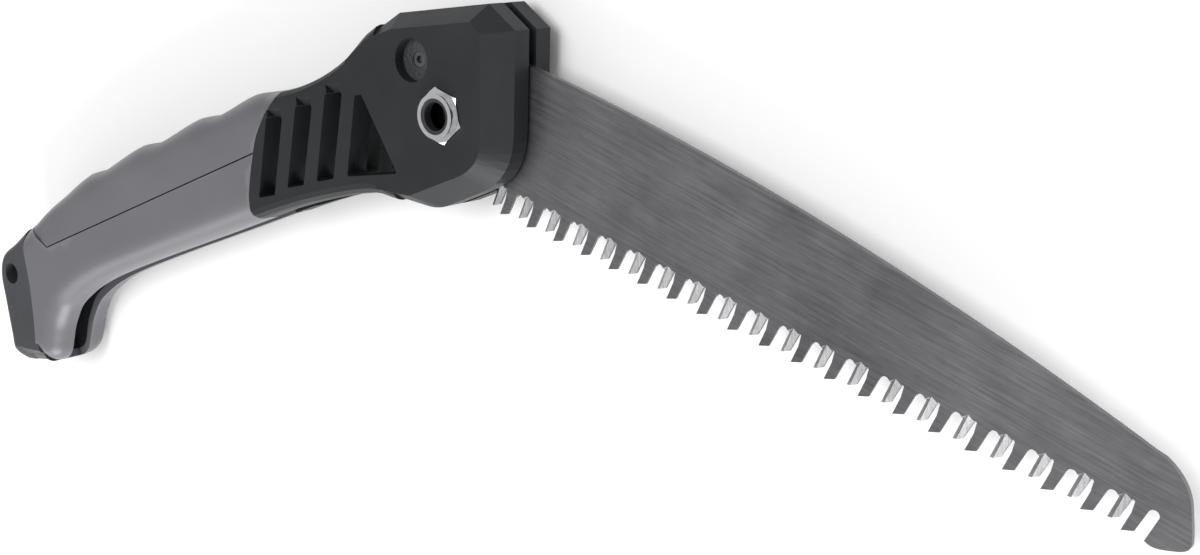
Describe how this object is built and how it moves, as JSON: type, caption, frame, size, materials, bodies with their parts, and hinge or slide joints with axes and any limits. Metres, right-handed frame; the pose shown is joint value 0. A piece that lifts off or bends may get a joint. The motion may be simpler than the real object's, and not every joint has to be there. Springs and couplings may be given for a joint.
{
  "type": "folding pruning saw",
  "caption": "Folding pruning saw, drawn open: a toothed steel blade that pivots in a bevelled polymer head and folds into a slotted, scalloped handle with a lanyard hole.",
  "frame": {"origin": "on the pivot axis, at the plane the bolt side rests on", "axes": "+X from the handle towards the open blade, along the head; +Y towards the back of the saw, away from the teeth; +Z along the pivot from the bolt side to the nut side"},
  "size_m": [0.3952, 0.127, 0.026],
  "materials": {
    "core_charcoal": "satin glass-filled polymer, charcoal",
    "grip_grey": "satin moulded polymer, cool grey",
    "cap_charcoal": "satin polymer, dark grey",
    "button_charcoal": "lightly textured polymer",
    "blade_steel": "brushed along the blade, ground teeth",
    "zinc_plate": "bright zinc plate",
    "turned_steel": "turned steel",
    "bronze": "oiled bronze",
    "nylon_black": "nylon",
    "black_rubber": "nitrile"
  },
  "bodies": {
    "handle": {"handle_shell_nut_side": "core_charcoal", "handle_shell_bolt_side": "core_charcoal", "grip_shell_nut_side": "grip_grey", "grip_shell_bolt_side": "grip_grey", "palm_pad_nut_side": "grip_grey", "palm_pad_bolt_side": "grip_grey", "pommel_cap": "cap_charcoal", "pivot_bolt": "zinc_plate", "bolt_washer": "zinc_plate", "pivot_sleeve": "turned_steel", "blade_washer_nut_side": "bronze", "blade_washer_bolt_side": "bronze", "pivot_nut": "zinc_plate", "nut_insert": "nylon_black", "stop_pin": "turned_steel", "handle_screws": "zinc_plate"},
    "blade": {"blade": "blade_steel"},
    "lock": {"lock_bolt": "turned_steel", "lock_button": "button_charcoal", "lock_screw": "turned_steel", "lock_o_ring": "black_rubber"}
  },
  "joints": [
    {"name": "blade_pivot", "type": "hinge", "parent": "handle", "child": "blade", "pos_m": [0, 0, 0.012], "axis": [0, 0, 1], "range_deg": [-138.5, 0]},
    {"name": "lock_slide", "type": "slide", "parent": "handle", "child": "lock", "axis": [0, 0, 1], "range_m": [0, 0.003]}
  ]
}
